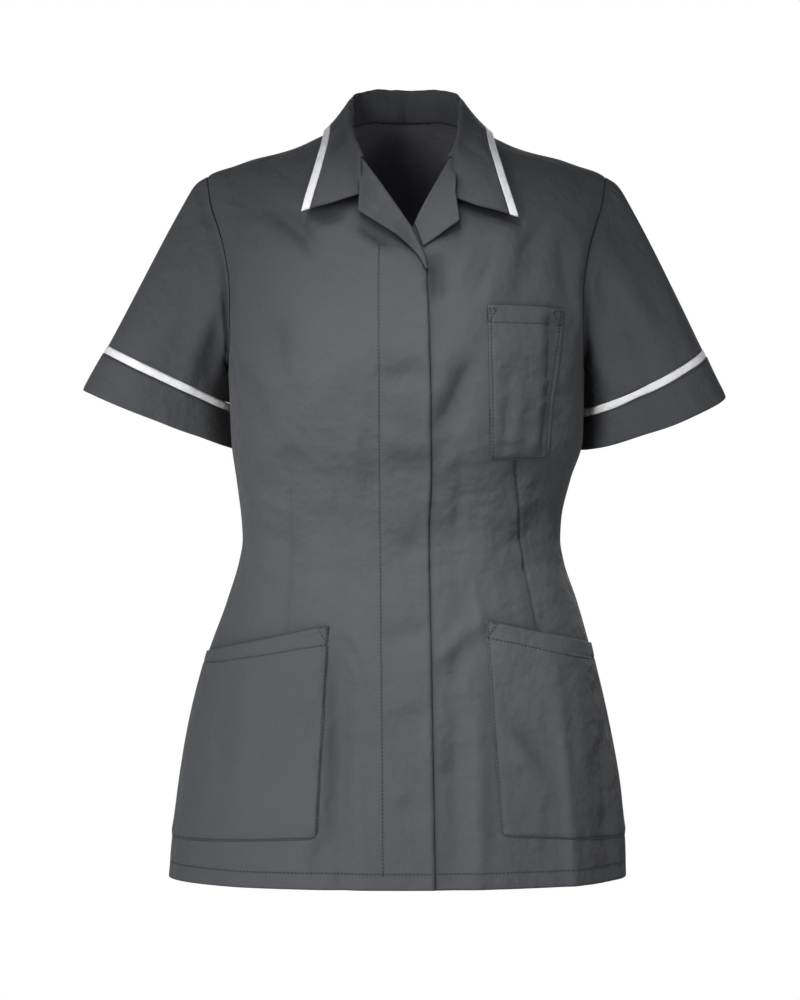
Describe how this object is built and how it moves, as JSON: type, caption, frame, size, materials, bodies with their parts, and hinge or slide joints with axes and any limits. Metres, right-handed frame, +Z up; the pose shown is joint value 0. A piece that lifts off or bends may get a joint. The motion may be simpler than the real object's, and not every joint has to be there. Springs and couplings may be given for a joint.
{
  "type": "medical tunic",
  "caption": "Short-sleeved fitted medical tunic filled out as worn, with a revere collar edged in contrast trim, cuffed sleeves, a concealed front fly and patch pockets.",
  "frame": {"origin": "midway between the shoulders, where the wearer's shoulders and neck hold the tunic up, level with the top of the side neck", "axes": "+X to the wearer's left, +Y to the back, +Z up; the tunic faces -Y"},
  "size_m": [0.6112, 0.2705, 0.7527],
  "materials": {
    "charcoal_cloth": "matt charcoal grey polyester and cotton twill with a faint sheen on its folds",
    "white_trim": "smooth white woven trim"
  },
  "bodies": {
    "root": {"front_right": "charcoal_cloth", "front_left": "charcoal_cloth", "fly": "charcoal_cloth", "back": "charcoal_cloth", "sleeve_right": "charcoal_cloth", "sleeve_left": "charcoal_cloth", "sleeve_trim_right": "white_trim", "sleeve_trim_left": "white_trim", "cuff_right": "charcoal_cloth", "cuff_left": "charcoal_cloth", "collar": "charcoal_cloth", "collar_trim": "white_trim", "lapel_right": "charcoal_cloth", "lapel_left": "charcoal_cloth", "hip_pocket_right": "charcoal_cloth", "hip_pocket_left": "charcoal_cloth", "chest_pocket": "charcoal_cloth"}
  },
  "joints": []
}
